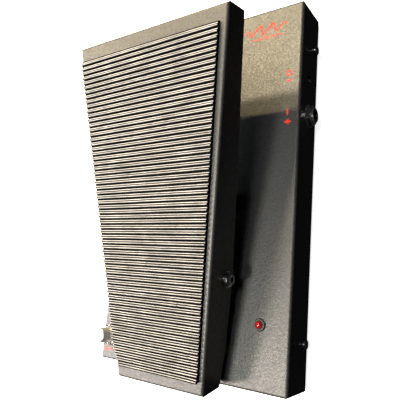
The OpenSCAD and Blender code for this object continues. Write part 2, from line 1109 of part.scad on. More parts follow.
// A knob with grip flutes round it and a pointer groove across its top
module control_knob(y) {
    flutes = 12;
    flute_r = 1;
    flute_low = 1.5;
    crown = 1.2;
    line_w = 0.8;
    line_d = 0.5;
    color(black_plastic)
    at_pot(y)
    translate([0, 0, knob_z])
    difference() {
        union() {
            cylinder(r = knob_r, h = knob_h - crown);
            translate([0, 0, knob_h - crown])
                cylinder(r1 = knob_r, r2 = knob_r - crown, h = crown);
        }
        for (k = [0 : flutes - 1])
            rotate(360 * (k + 0.5) / flutes)
                translate([knob_r + flute_r * 0.45, 0, flute_low])
                    cylinder(r = flute_r, h = knob_h);
        translate([0, 0, -1]) cylinder(r = shaft_r, h = shaft_top - knob_z + 1);
        translate([-line_w / 2, 0, knob_h - line_d]) cube([line_w, knob_r + 1, 1]);
    }
}

module level_knob() {
    control_knob(level_y);
}

module contour_knob() {
    control_knob(contour_y);
}

// ---------- status light ----------

module at_led() {
    on_base()
        translate([led_x, led_y, 0])
            children();
}

module status_led() {
    inside_l = 8;
    color("#c01a1a")
    at_led()
    union() {
        translate([0, 0, under_top - inside_l]) cylinder(r = led_r, h = inside_l + sheet_t + led_rim_h);
        translate([0, 0, base_top + led_rim_h]) sphere(led_r);
    }
}

module led_bezel() {
    inside_l = 3;
    bevel = 0.6;
    color(black_plastic)
    at_led()
    difference() {
        union() {
            translate([0, 0, under_top - inside_l]) cylinder(r = led_hole_r - slack, h = inside_l + sheet_t);
            translate([0, 0, base_top]) cylinder(r1 = led_rim_r, r2 = led_rim_r - bevel, h = led_rim_h);
        }
        translate([0, 0, under_top - inside_l - 1]) cylinder(r = led_r + slack, h = far);
    }
}

// ---------- battery and wiring ----------

module battery() {
    color("#2c4a7a")
    on_base()
    translate([battery_pos[0], battery_pos[1], floor_top + clip_t])
    cube(battery_size);
}

module battery_clip() {
    mid_x = battery_pos[0] + battery_size[0] / 2;
    color(zinc)
    on_base()
    translate([mid_x - clip_w / 2, battery_pos[1] - clip_t, floor_top])
    difference() {
        cube([clip_w, battery_size[1] + 2 * clip_t, clip_h]);
        translate([-1, clip_t, clip_t]) cube([clip_w + 2, battery_size[1], clip_h]);
    }
}

module battery_snap() {
    snap = [4.5, battery_size[1] - 2, 13];
    snap_z = 2;
    color(black_plastic)
    on_base()
    translate([battery_pos[0] + battery_size[0], battery_pos[1] + 1, floor_top + clip_t + snap_z])
    cube(snap);
}

// A tube of straight runs: a ring of points on each corner, square to the mean of its two runs
module tube(route, r, sides) {
    last = len(route) - 1;
    across = [0.3, -0.5, 0.81];
    rings = [
        for (i = [0 : last])
            let (
                t = route[min(i + 1, last)] - route[max(i - 1, 0)],
                u = cross(t, across),
                v = cross(t, u),
                x = u / norm(u),
                y = v / norm(v)
            )
                for (k = [0 : sides - 1])
                    route[i] + r * (x * cos(360 * k / sides) + y * sin(360 * k / sides))
    ];
    polyhedron(rings, tube_faces(last, sides));
}

module hookup_wires() {
    color("#8c2f2f")
    on_base()
    for (route = wire_routes)
        tube(route, wire_r, wire_sides);
}

chassis_shell();
bottom_plate();
rubber_feet();
foot_screws();
chassis_screws();
pivot_brackets();
bracket_screws();
bracket_nuts();
pivot_bushes();
heel_bumpers();
toe_bumper();
spring_seat();
return_spring();
circuit_board();
board_standoffs();
board_screws();
board_chips();
board_capacitors();
sensor_holders();
sensor_lamp();
photocell();
input_jack();
output_jack();
jack_washers();
jack_nuts();
power_jack();
power_jack_pin();
footswitch_body();
footswitch_washer();
footswitch_nut();
footswitch_button();
level_pot();
contour_pot();
pot_washers();
pot_nuts();
level_shaft();
contour_shaft();
level_knob();
contour_knob();
status_led();
led_bezel();
battery();
battery_clip();
battery_snap();
hookup_wires();
treadle_shell();
treadle_mat();
pivot_bolts();
pivot_washers();
pivot_nuts();
shutter_vane();
vane_rivets();
spring_cap();
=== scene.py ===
"""Looks, light and camera for the rocker pedal. Metres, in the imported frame: +Y to the toe, +Z up."""
import json
import math
import random

import bmesh
import bpy
from mathutils import Matrix, Vector, noise

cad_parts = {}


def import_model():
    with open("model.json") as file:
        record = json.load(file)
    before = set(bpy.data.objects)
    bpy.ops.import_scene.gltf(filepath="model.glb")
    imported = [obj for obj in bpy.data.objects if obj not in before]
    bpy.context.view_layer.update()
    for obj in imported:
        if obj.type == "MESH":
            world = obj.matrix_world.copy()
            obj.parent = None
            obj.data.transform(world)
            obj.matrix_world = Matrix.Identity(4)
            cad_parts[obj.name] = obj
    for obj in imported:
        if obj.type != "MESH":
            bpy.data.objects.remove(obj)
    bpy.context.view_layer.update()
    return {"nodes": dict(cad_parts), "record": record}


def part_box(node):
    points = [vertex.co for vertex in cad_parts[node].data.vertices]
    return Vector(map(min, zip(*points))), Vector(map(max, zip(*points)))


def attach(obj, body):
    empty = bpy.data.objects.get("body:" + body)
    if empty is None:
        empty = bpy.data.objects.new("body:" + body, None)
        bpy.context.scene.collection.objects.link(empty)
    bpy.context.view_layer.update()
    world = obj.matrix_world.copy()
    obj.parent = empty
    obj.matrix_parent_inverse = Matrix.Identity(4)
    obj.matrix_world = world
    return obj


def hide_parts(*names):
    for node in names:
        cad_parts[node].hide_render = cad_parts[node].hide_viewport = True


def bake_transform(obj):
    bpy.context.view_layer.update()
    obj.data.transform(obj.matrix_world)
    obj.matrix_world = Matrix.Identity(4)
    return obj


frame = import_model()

MM = 0.001
NODES = frame["nodes"]
rng = random.Random(41)


# ---------- node materials ----------

class Shader:
    """One Principled material, built from short calls. Sizes are in metres and scales in cells per metre."""

    def __init__(self, name, colour, rough, metal=0.0, **constants):
        self.mat = bpy.data.materials.new(name)
        self.mat.use_nodes = True
        self.tree = self.mat.node_tree
        self.tree.nodes.clear()
        out = self.tree.nodes.new("ShaderNodeOutputMaterial")
        self.bsdf = self.tree.nodes.new("ShaderNodeBsdfPrincipled")
        self.tree.links.new(self.bsdf.outputs[0], out.inputs["Surface"])
        self.place = self.tree.nodes.new("ShaderNodeTexCoord").outputs["Object"]
        self.bsdf.inputs["Metallic"].default_value = metal
        self.set("Base Color", colour)
        self.set("Roughness", rough)
        for socket, value in constants.items():
            self.set(socket.replace("_", " "), value)
        self.mat.diffuse_color = rgba(colour)

    def set(self, socket, value, node=None):
        self.put((node or self.bsdf).inputs[socket], value)

    def put(self, target, value):
        """Link the value if it is another node's output, and write it as a constant otherwise."""
        if isinstance(value, bpy.types.NodeSocket):
            self.tree.links.new(value, target)
        elif target.type == "RGBA":
            target.default_value = rgba(value)
        else:
            target.default_value = value

    def node(self, kind, sockets=None, out=0, **props):
        made = self.tree.nodes.new("ShaderNode" + kind)
        for name, value in props.items():
            setattr(made, name, value)
        for name, value in (sockets or {}).items():
            self.set(name, value, made)
        return made.outputs[out]

    def stretched(self, stretch, turn=(0, 0, 0)):
        if stretch == (1, 1, 1) and turn == (0, 0, 0):
            return self.place
        return self.node("Mapping", {"Vector": self.place, "Scale": stretch, "Rotation": turn})

    def noise(self, scale, detail=3.0, rough=0.55, stretch=(1, 1, 1), warp=0.0, turn=(0, 0, 0)):
        return self.node("TexNoise", {
            "Vector": self.stretched(stretch, turn), "Scale": scale, "Detail": detail,
            "Roughness": rough, "Distortion": warp})

    def cells(self, scale):
        return self.node("TexVoronoi", {"Vector": self.place, "Scale": scale}, out="Distance")

    def wave(self, scale, warp=0.0, direction="X"):
        return self.node("TexWave", {
            "Vector": self.place, "Scale": scale, "Distortion": warp, "Detail": 2.0},
            out="Fac", bands_direction=direction)

    def remap(self, value, low, high, to_low=0.0, to_high=1.0):
        return self.node("MapRange", {
            "Value": value, "From Min": low, "From Max": high, "To Min": to_low, "To Max": to_high})

    def math(self, op, a, b):
        made = self.tree.nodes.new("ShaderNodeMath")
        made.operation = op
        self.put(made.inputs[0], a)
        self.put(made.inputs[1], b)
        return made.outputs[0]

    def mix(self, share, a, b):
        made = self.tree.nodes.new("ShaderNodeMix")
        made.data_type = "RGBA"
        self.put(made.inputs[0], share)
        self.put(made.inputs[6], a)
        self.put(made.inputs[7], b)
        return made.outputs[2]

    def attribute(self, name):
        return self.node("Attribute", out="Fac", attribute_name=name)

    def soft_edge(self, radius):
        return self.node("Bevel", {"Radius": radius}, samples=4)

    def edge_mask(self, radius):
        """1 along edges that are sharper than the radius, 0 on flats."""
        made = self.tree.nodes.new("ShaderNodeVectorMath")
        made.operation = "DOT_PRODUCT"
        self.put(made.inputs[0], self.soft_edge(radius))
        self.put(made.inputs[1], self.node("NewGeometry", out="Normal"))
        return self.remap(made.outputs["Value"], 0.99, 0.86)

    def bump(self, height, distance, strength=1.0, normal=None):
        sockets = {"Height": height, "Distance": distance, "Strength": strength}
        if normal is not None:
            sockets["Normal"] = normal
        return self.node("Bump", sockets)

    def done(self, normal=None):
        if normal is not None:
            self.set("Normal", normal)
        return self.mat


def rgba(colour):
    return (*colour[:3], colour[3] if len(colour) > 3 else 1.0)


def grey(level, warm=0.0):
    return (level, level * (1 - 0.5 * warm), level * (1 - warm))


def powder_coat():
    """Baked textured paint: a fine pebbled skin, with handling marks and rubbed edges."""
    s = Shader("powder_coat", grey(0.02), 0.6, Specular_IOR_Level=0.6)
    pebble = s.noise(760, 3.0, 0.7)
    grain = s.noise(2400, 2.0, 0.7)
    blotch = s.noise(16, 4.0, 0.6, warp=0.4)
    scuff = s.remap(s.noise(55, 5.0, 0.7, stretch=(1, 0.16, 1), turn=(0, 0, 0.5)), 0.66, 0.74)
    rubbed = s.math("MULTIPLY", s.edge_mask(0.0007), s.remap(s.noise(140, 4.0, 0.7), 0.46, 0.7))
    # Paler pebble tops and pale flecks: the paint's own speckle, made stronger as painted glints of its
    # texture.
    colour = s.mix(s.remap(pebble, 0.36, 0.64), grey(0.011), grey(0.032, 0.06))
    colour = s.mix(s.remap(s.cells(1100), 0.20, 0.06, 0, 0.4), colour, grey(0.08, 0.06))
    colour = s.mix(s.math("MULTIPLY", scuff, 0.10), colour, grey(0.12))
    colour = s.mix(s.math("MULTIPLY", rubbed, 0.55), colour, grey(0.16, 0.05))
    s.set("Base Color", colour)
    rough = s.math("ADD", s.remap(blotch, 0.3, 0.7, 0.0, 0.05), s.remap(pebble, 0.36, 0.64, 0.48, 0.37))
    s.set("Roughness", s.math("SUBTRACT", rough, s.math("MULTIPLY", scuff, 0.06)))
    height = s.math("ADD", pebble, s.math("MULTIPLY", grain, 0.35))
    return s.done(s.bump(height, 0.00017, 1.0, s.soft_edge(0.0004)))


def mat_groove_painted_shade():
    """The mat's grooves and side walls: near-black and barely reflective, as painted shade for the shadow
    that falls in them, with a little lint.
    """
    s = Shader("mat_groove_painted_shade", grey(0.003), 0.95, Specular_IOR_Level=0.05)
    lint = s.remap(s.noise(700, 4.0, 0.7, stretch=(0.3, 1, 1)), 0.62, 0.8)
    s.set("Base Color", s.mix(s.math("MULTIPLY", lint, 0.3), grey(0.003), grey(0.02, 0.1)))
    s.set("Roughness", s.remap(lint, 0, 1, 0.92, 1.0))
    return s.done(s.bump(s.noise(2200, 3.0, 0.7), 0.00006, 0.6))


def mat_rubber():
    """Ribbed mat: the crests paler, partly from dust and partly as a painted highlight; black rubber below
    them.
    """
    s = Shader("mat_rubber", grey(0.03), 0.55, Specular_IOR_Level=0.6)
    crest = s.attribute("crest")
    wear = s.attribute("wear")
    streak = s.noise(420, 4.0, 0.65, stretch=(0.12, 1, 1))
    dust = s.noise(95, 5.0, 0.65, warp=0.5)
    fine = s.noise(2400, 3.0, 0.7)
    body = s.mix(s.remap(fine, 0.3, 0.7), grey(0.022), grey(0.036, 0.05))
    # Pale crest colour: partly dust, partly a painted highlight where the lamps catch the rib tops.
    crest_dust_and_highlight = s.mix(s.remap(dust, 0.3, 0.72), grey(0.16, 0.07), grey(0.37, 0.10))
    share = s.math("MULTIPLY", s.remap(crest, 0.5, 0.95), s.remap(streak, 0.28, 0.66, 0.45, 1.0))
    colour = s.mix(share, body, crest_dust_and_highlight)
    colour = s.mix(s.math("MULTIPLY", wear, 0.7), colour, grey(0.16, 0.12))
    s.set("Base Color", colour)
    s.set("Roughness", s.remap(streak, 0.3, 0.7, 0.60, 0.46))
    height = s.math("ADD", s.math("MULTIPLY", streak, 0.7), s.math("MULTIPLY", fine, 0.5))
    return s.done(s.bump(height, 0.00009, 0.7))


def rubber_black():
    s = Shader("rubber_black", grey(0.02), 0.75)
    fine = s.noise(1800, 4.0, 0.7)
    dust = s.remap(s.noise(120, 4.0, 0.6), 0.5, 0.8)
    s.set("Base Color", s.mix(s.math("MULTIPLY", dust, 0.5), grey(0.018), grey(0.07, 0.1)))
    s.set("Roughness", s.remap(fine, 0.3, 0.7, 0.68, 0.85))
    return s.done(s.bump(fine, 0.00008, 0.7, s.soft_edge(0.0004)))


METAL_EDGE = 0.0003         # radius that an edge is softened by
MOULD_GRAIN = 1500


def metal(name, colour, tint, rough, marks=0.3, lines=900, dirt=0.35):
    """Bright or dark metal: drawn or turned lines, fine scratches, a little grime away from the edges."""
    s = Shader(name, colour, rough, metal=1.0)
    turned = s.noise(lines, 3.0, 0.7, stretch=(1, 1, 0.08))
    scratch = s.remap(s.noise(260, 6.0, 0.75, stretch=(1, 0.12, 1), turn=(0.2, 0.3, 0.9)), 0.60, 0.68)
    film = s.noise(230, 4.0, 0.6, warp=0.6)
    base = s.mix(s.remap(film, 0.42, 0.72, 0, dirt), colour, tint)
    bright = tuple(min(1.0, c * 1.25 + 0.05) for c in colour)
    base = s.mix(s.math("MULTIPLY", s.edge_mask(METAL_EDGE * 2), 0.6), base, bright)
    s.set("Base Color", base)
    dull = s.remap(film, 0.3, 0.75, rough * 0.8, rough * 1.5)
    s.set("Roughness", s.math("ADD", dull, s.math("MULTIPLY", scratch, 0.12)))
    height = s.math("ADD", turned, s.math("MULTIPLY", scratch, -0.6))
    return s.done(s.bump(height, 0.00003, marks, s.soft_edge(METAL_EDGE)))


def moulded(name, colour, rough, depth=0.00006, dust=0.25, edge=0.0003, **constants):
    """Moulded plastic: fine spark-eroded grain, dull patches and dust."""
    s = Shader(name, colour, rough, **constants)
    skin = s.noise(MOULD_GRAIN, 3.0, 0.65)
    patch = s.noise(70, 4.0, 0.6, warp=0.4)
    pale = tuple(c * 0.75 + 0.12 for c in colour[:3])
    s.set("Base Color", s.mix(s.remap(patch, 0.45, 0.8, 0, dust), colour, pale))
    s.set("Roughness", s.remap(patch, 0.3, 0.7, rough * 0.85, min(1.0, rough * 1.2)))
    return s.done(s.bump(skin, depth, 0.6, s.soft_edge(edge)))


def board_green():
    """Solder mask over copper runs, with tinned pads."""
    s = Shader("board_green", (0.03, 0.14, 0.06), 0.35, Coat_Weight=0.4, Coat_Roughness=0.2)
    run_x = s.remap(s.wave(95, 1.4), 0.74, 0.80)
    run_y = s.remap(s.wave(80, 1.2, direction="Y"), 0.78, 0.84)
    runs = s.math("MAXIMUM", run_x, run_y)
    pads = s.remap(s.cells(240), 0.30, 0.24)
    colour = s.mix(s.math("MULTIPLY", runs, 0.8), (0.02, 0.11, 0.05), (0.07, 0.24, 0.08))
    s.set("Base Color", s.mix(pads, colour, (0.62, 0.60, 0.55)))
    s.set("Metallic", s.math("MULTIPLY", pads, 0.8))
    s.set("Roughness", s.remap(s.noise(300, 3.0), 0.3, 0.7, 0.28, 0.42))
    return s.done(s.bump(s.math("ADD", runs, pads), 0.00006, 0.7))


def photocell_face():
    """A serpentine sensing track on a ceramic face."""
    s = Shader("photocell_face", (0.45, 0.2, 0.1), 0.4, Coat_Weight=0.6, Coat_Roughness=0.1)
    track = s.remap(s.wave(420, 0.4, direction="Z"), 0.42, 0.52)
    s.set("Base Color", s.mix(track, (0.62, 0.56, 0.45), (0.50, 0.16, 0.07)))
    s.set("Roughness", s.remap(s.noise(900, 2.0), 0.3, 0.7, 0.3, 0.5))
    return s.done(s.bump(track, 0.00008, 0.6))


def battery_wrap():
    """Printed steel wrap: two plain colour bands and rubbed corners."""
    s = Shader("battery_wrap", (0.07, 0.13, 0.27), 0.3, metal=0.55, Coat_Weight=0.3, Coat_Roughness=0.15)
    along = s.node("SeparateXYZ", {"Vector": s.place}, out="X")
    band = s.remap(along, -0.030, -0.0298)
    wear = s.math("MULTIPLY", s.edge_mask(0.0009), s.remap(s.noise(300, 4.0, 0.7), 0.45, 0.62))
    colour = s.mix(band, (0.05, 0.10, 0.24), (0.55, 0.36, 0.12))
    colour = s.mix(s.remap(s.noise(60, 4.0), 0.5, 0.8, 0, 0.3), colour, (0.16, 0.18, 0.22))
    s.set("Base Color", s.mix(wear, colour, (0.7, 0.7, 0.7)))
    s.set("Roughness", s.remap(s.noise(500, 4.0), 0.3, 0.7, 0.25, 0.42))
    return s.done(s.bump(s.noise(90, 3.0), 0.00015, 0.4, s.soft_edge(0.0008)))


def led_red():
    """Tinted epoxy: deep red, darker towards the rim by view angle as painted shade, with brighter random
    swirls as painted reflections from inside the lens.
    """
    s = Shader("led_red", (0.5, 0.02, 0.02), 0.12, Coat_Weight=1.0, Coat_Roughness=0.04,
               Subsurface_Weight=0.25, Subsurface_Radius=(0.003, 0.0006, 0.0004), Specular_IOR_Level=0.7)
    facing = s.node("LayerWeight", {"Blend": 0.35}, out="Facing")
    swirl = s.noise(900, 3.0, 0.6, warp=1.2)
    # Brighter swirls: painted reflections from inside the lens.
    lens_painted_reflection = s.mix(s.remap(swirl, 0.35, 0.65), (0.12, 0.002, 0.002), (0.42, 0.010, 0.010))
    # Darker towards the rim by view angle: painted shade.
    s.set("Base Color", s.mix(s.remap(facing, 0.15, 0.7), lens_painted_reflection, (0.06, 0.001, 0.001)))
    s.set("Roughness", s.remap(swirl, 0.3, 0.7, 0.08, 0.18))
    return s.done(s.bump(swirl, 0.00010, 0.5))


def lamp_clear():
    s = Shader("lamp_clear", (0.86, 0.87, 0.82), 0.1, Transmission_Weight=0.75, IOR=1.5)
    swirl = s.noise(700, 3.0, 0.6, warp=1.0)
    s.set("Base Color", s.mix(swirl, (0.80, 0.82, 0.76), (0.92, 0.93, 0.88)))
    s.set("Roughness", s.remap(swirl, 0.3, 0.7, 0.05, 0.2))
    return s.done(s.bump(swirl, 0.00006, 0.4))


def printed_ink(name, colour, worn):
    """Screen-printed ink on textured paint: the pebbles show through and the ink has pinholes."""
    s = Shader(name, colour, 0.45, Specular_IOR_Level=0.2)
    pebble = s.noise(950, 2.0, 0.6)
    holes = s.remap(s.cells(1300), 0.14, 0.05, 0, 0.8)
    s.set("Base Color", s.mix(holes, s.mix(s.remap(pebble, 0.3, 0.7), colour, worn), grey(0.03)))
    s.set("Roughness", s.remap(pebble, 0.3, 0.7, 0.40, 0.55))
    return s.done(s.bump(pebble, 0.00016, 0.7))


MATERIALS = {
    "powder_coat": powder_coat(),
    "rubber_black": rubber_black(),
    "mat_rubber": mat_rubber(),
    "zinc_steel": metal("zinc_steel", grey(0.62), grey(0.30, 0.15), 0.28),
    "screw_steel": metal("screw_steel", grey(0.36), grey(0.07), 0.24, marks=0.4, dirt=0.6),
    "spring_steel": metal("spring_steel", grey(0.45), grey(0.20, 0.1), 0.26, lines=1600),
    "brass_plated": metal("brass_plated", (0.62, 0.58, 0.46), (0.34, 0.26, 0.14), 0.25),
    "nylon_white": moulded("nylon_white", (0.78, 0.76, 0.68), 0.45, Subsurface_Weight=0.2),
    "moulded_black": moulded("moulded_black", grey(0.025), 0.5),
    "jack_black": moulded("jack_black", grey(0.022), 0.3, depth=0.00003),
    "knob_black": moulded("knob_black", grey(0.018), 0.35, dust=0.15, edge=0.0004),
    "chrome_trim": metal("chrome_trim", grey(0.88, 0.03), grey(0.55, 0.12), 0.10, marks=0.12, dirt=0.25),
    "board_green": board_green(),
    "capacitor_sleeve": moulded("capacitor_sleeve", (0.04, 0.06, 0.15), 0.22, depth=0.00002),
    "lamp_clear": lamp_clear(),
    "photocell_face": photocell_face(),
    "led_red": led_red(),
    "battery_wrap": battery_wrap(),
    "wire_red": moulded("wire_red", (0.35, 0.03, 0.03), 0.4, depth=0.00003),
    "shutter_black": moulded("shutter_black", grey(0.014), 0.6),
}
BUTTON_SATIN = metal("button_satin", grey(0.93, 0.02), grey(0.80, 0.06), 0.42, marks=0.15, dirt=0.2)
INK_RED = printed_ink("ink_red", (0.75, 0.035, 0.022), (0.60, 0.028, 0.018))
INK_WHITE = printed_ink("ink_white", (0.72, 0.72, 0.69), (0.62, 0.62, 0.59))

for part in frame["record"]["subparts"]:
    data = NODES[part["node"]].data
    data.materials.clear()
    data.materials.append(MATERIALS[part["material_slot"]])
NODES["footswitch_button"].data.materials[0] = BUTTON_SATIN     # brushed, unlike the other chrome


# ---------- mesh helpers ----------

def piece(name, verts, faces, material, body, smooth=False):
    """A new mesh that rides on the body; with no body, it is left unattached."""
    mesh = bpy.data.meshes.new(name)
    mesh.from_pydata([tuple(v) for v in verts], [], faces)
    work = bmesh.new()
    work.from_mesh(mesh)
    bmesh.ops.recalc_face_normals(work, faces=work.faces)
    work.to_mesh(mesh)
    work.free()
    mesh.polygons.foreach_set("use_smooth", [smooth] * len(mesh.polygons))
    mesh.materials.append(material)
    obj = bpy.data.objects.new(name, mesh)
    bpy.context.scene.collection.objects.link(obj)
    if body:
        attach(obj, body)
    return obj


# ---------- treadle mat ----------

BASE_Y = 1.8547 * MM        # y of the base's middle; the frame's origin is the middle of the whole part
PIVOT = Vector((0, -60.9 * MM + BASE_Y, 49.7 * MM))
REST_PITCH = math.radians(11.5)
SKIRT_X = 41.318 * MM       # half width of the treadle at the pivot
TAPER = 0.11991             # growth of the half width per unit of length towards the toe
MAT_LEFT = 1.3 * MM         # margins from the skirts; the right one grows towards the toe
MAT_RIGHT_HEEL = 3.1 * MM
MAT_RIGHT_TOE = 4.9 * MM
MAT_LOW = 18.4 * MM         # local z of the treadle's top
MAT_T = 3.15 * MM
MAT_FRONT = 145.3 * MM      # local y of the first groove
RIBS = 62
PITCH = 3.26 * MM
MAT_COLUMNS = 96
SWAY = 0.10 * MM            # how far a rib wanders from straight
SIDE_RAGGED = 0.05 * MM     # how uneven the cut ends of the ribs are
CREST_ROUGH = 0.05          # mm
END_ROUND = 0.10            # mm, drop of a crest at its two ends
NICKS = 46                  # small cuts in single ribs
WORN_LENGTH = 16 * MM       # the heel-left corner is worn away over this length
WORN_CUT = 3.4              # mm
WORN_RAGGED = 0.5           # mm
LIFTED_LENGTH = 15 * MM     # the last rib has come off its glue at the right end
LIFTED_HEIGHT = 0.7         # mm
SCUFF_REACH = 12 * MM       # scuffs lie within this of the pivot's line, at least this far left of the middle
SCUFF_FROM = 0.12           # noise level where a scuff starts

# One rib, from the middle of its toe-side groove: share of the pitch, depth below the top in mm, and how much
# of the crests' pale colour it has, which is partly dust and partly a painted highlight. The toe-side half is
# a step lower than the heel-side half, with a thin line between them.
RIB = [
    (0.00, 1.75, 0.0), (0.155, 1.73, 0.0), (0.172, 1.50, 0.0), (0.188, 0.98, 0.2), (0.204, 0.76, 0.8),
    (0.24, 0.67, 1.0), (0.29, 0.65, 1.0), (0.335, 0.68, 1.0), (0.375, 0.77, 0.85), (0.395, 0.94, 0.2),
    (0.44, 1.20, 0.0), (0.525, 1.16, 0.0), (0.555, 0.36, 0.6), (0.582, 0.10, 0.95), (0.63, 0.01, 1.0),
    (0.675, 0.0, 1.0), (0.72, 0.04, 1.0), (0.757, 0.16, 0.85), (0.78, 0.50, 0.2), (0.800, 1.50, 0.0),
    (0.845, 1.72, 0.0)]
GROOVE_DEPTH = 0.93         # mm below the top, where the near-black groove material (painted shade) starts
LIP = 0.45 * MM             # base sheet in front of the first rib


def to_row(x, y, z):
    """A point of the treadle's own frame, at rest."""
    c, s = math.cos(REST_PITCH), math.sin(REST_PITCH)
    return Vector((x, PIVOT.y + y * c - z * s, PIVOT.z + y * s + z * c))


def mat_rows():
    """(distance from the first groove's centre, depth in mm, crest, rib index) down the mat."""
    end = RIBS * PITCH
    rows = [(-LIP, 1.78, 0.0, 0), (-0.9 * LIP, 1.72, 0.0, 0)]
    for k in range(RIBS):
        rows += [((k + share) * PITCH, depth, crest, k) for share, depth, crest in RIB]
    rows = [r for r in rows if r[0] < end - 0.15 * PITCH]
    return rows + [(end - 0.24 * MM, 0.12, 0.9, RIBS - 1), (end, 0.42, 0.5, RIBS - 1)]


def dents():
    """For each nicked rib, its nicks: (share across the mat, half length, depth in mm)."""
    found = {}
    for _ in range(NICKS):
        rib, across = rng.randrange(RIBS), rng.uniform(-0.95, 0.95)
        found.setdefault(rib, []).append((across, rng.uniform(0.6, 2.2) * MM, rng.uniform(0.15, 0.5)))
    return found


def mat_sides(rib, at, half):
    """The mat's left and right edge at a rib, with the worn corner and slightly ragged ends."""
    left = MAT_LEFT - half
    right = half - MAT_RIGHT_TOE + (MAT_RIGHT_TOE - MAT_RIGHT_HEEL) * at / (RIBS * PITCH)
    from_heel = RIBS * PITCH - at
    inset = SIDE_RAGGED * (1 - noise.noise(Vector((rib * 0.37, 5.1, 0))))
    if from_heel < WORN_LENGTH:
        worn = 1 - from_heel / WORN_LENGTH
        bite = noise.noise(Vector((rib * 1.7, 2, 0)))
        left += (WORN_CUT * worn ** 1.6 + WORN_RAGGED * worn * bite) * MM
    return left + inset, right - inset


def column_x(i, left, right):
    """Columns lie a little closer together towards both sides."""
    even = i / MAT_COLUMNS
    t = even * 0.75 + 0.25 * (0.5 - 0.5 * math.cos(math.pi * even))
    return left + (right - left) * t


def build_mat():
    """The ribbed top, then its sides and underside, in one closed mesh."""
    rows = mat_rows()
    nicks = dents()
    verts, crests, wears = [], [], []
    for at, depth, crest, rib in rows:
        y = MAT_FRONT - at
        half = SKIRT_X + TAPER * y
        left, right = mat_sides(rib, at, half)
        for i in range(MAT_COLUMNS + 1):
            x = column_x(i, left, right)
            sway = noise.noise(Vector((x * 30, rib * 0.9, 1.0))) * SWAY
            low = depth + crest * CREST_ROUGH * (1 + noise.noise(Vector((x * 260, rib * 3.1, at * 400))))
            wear = 0.0
            for across, reach, cut in nicks.get(rib, []):
                gap = abs(x - across * half) / reach
                if gap < 1 and crest > 0.3:
                    low += cut * (1 - gap * gap)
                    wear = max(wear, (1 - gap) * 0.8)
            if i in (0, MAT_COLUMNS):
                low += END_ROUND * crest
            scrape = noise.noise(Vector((x * 55 + 9, y * 55, 3.0)))
            if x < -SCUFF_REACH and abs(y) < SCUFF_REACH and scrape > SCUFF_FROM:
                wear = max(wear, min(1.0, (scrape - SCUFF_FROM) * 4))
            lift = 0.0
            if rib == RIBS - 1 and x > right - LIFTED_LENGTH:
                lift = LIFTED_HEIGHT * ((x - right + LIFTED_LENGTH) / LIFTED_LENGTH) ** 2
            if at < 0 or at == RIBS * PITCH:
                sway = 0
            verts.append(to_row(x, y + sway, MAT_LOW + MAT_T - (low - lift) * MM))
            crests.append(max(0.0, min(1.0, crest)))
            wears.append(wear)
    wide = MAT_COLUMNS + 1
    count = len(rows)
    faces = []
    for r in range(count - 1):
        for i in range(MAT_COLUMNS):
            a = r * wide + i
            faces.append((a, a + 1, a + wide + 1, a + wide))
    base = len(verts)
    for r, (at, _, _, _) in enumerate(rows):
        for i in (0, MAT_COLUMNS):
            verts.append(to_row(verts[r * wide + i].x, MAT_FRONT - at, MAT_LOW))
            crests.append(0.0)
            wears.append(0.0)
    for r in range(count - 1):
        l0, r0 = base + 2 * r, base + 2 * r + 1
        l1, r1 = l0 + 2, r0 + 2
        faces.append((r * wide, (r + 1) * wide, l1, l0))
        faces.append((r * wide + MAT_COLUMNS, r0, r1, (r + 1) * wide + MAT_COLUMNS))
        faces.append((l0, l1, r1, r0))
    faces.append(tuple(range(wide)) + (base + 1, base))
    last = (count - 1) * wide
    faces.append(tuple(range(last + wide - 1, last - 1, -1)) + (base + 2 * count - 2, base + 2 * count - 1))
    mat = piece("treadle_mat_ribbed", verts, faces, MATERIALS["mat_rubber"], "treadle")
    # The second material paints shade into the grooves and onto the mat's sides and underside.
    mat.data.materials.append(mat_groove_painted_shade())
    deep = [row[1] > GROOVE_DEPTH for row in rows]
    for f in mat.data.polygons:
        inner = [v // wide for v in f.vertices if v < base]
        if len(inner) < len(f.vertices) or any(deep[r] for r in inner):
            f.material_index = 1
    for name, values in (("crest", crests), ("wear", wears)):
        mat.data.attributes.new(name, "FLOAT", "POINT").data.foreach_set("value", values)
    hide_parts("treadle_mat")


build_mat()


# ---------- return spring ----------

SPRING_X = -16 * MM
SPRING_Y = -28.6 * MM + BASE_Y
SEAT_Z = 33.2 * MM          # the spring stands on its seat here
CAP_Z = 68.0 * MM           # and meets its cap here, at rest


def build_spring():
    """The closed coil of the CAD, with a round wire and many more steps a turn."""
    turns, steps, sides = 7, 56, 14
    r, wire = 8 * MM, 0.8 * MM
    x0, y0 = SPRING_X, SPRING_Y
    low, top = SEAT_Z + wire, CAP_Z - wire
    flat = 2 * wire + 0.1 * MM          # rise of an end turn, pressed flat
    rise = top - low - 2 * flat
    verts, faces = [], []
    for i in range(turns * steps + 1):
        t = i / steps
        z = rise * (0 if t < 1 else 1 if t > turns - 1 else (t - 1) / (turns - 2))
        z += flat * min(t, 1) + flat * max(t - turns + 1, 0)
        a = 2 * math.pi * t
        for k in range(sides):
            b = 2 * math.pi * k / sides
            out = r + wire * math.cos(b)
            verts.append((x0 + out * math.cos(a), y0 + out * math.sin(a), low + z + wire * math.sin(b)))
    rings = turns * steps
    for i in range(rings):
        for k in range(sides):
            a, b = i * sides + k, i * sides + (k + 1) % sides
            faces.append((a, a + sides, b + sides, b))
    faces.append(tuple(range(sides)))
    faces.append(tuple(range(rings * sides + sides - 1, rings * sides - 1, -1)))
    steel = MATERIALS["spring_steel"]
    spring = piece("return_spring_coil", verts, faces, steel, None, smooth=True)
    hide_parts("return_spring")
    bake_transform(spring)


build_spring()


# ---------- printed marks and pointers ----------

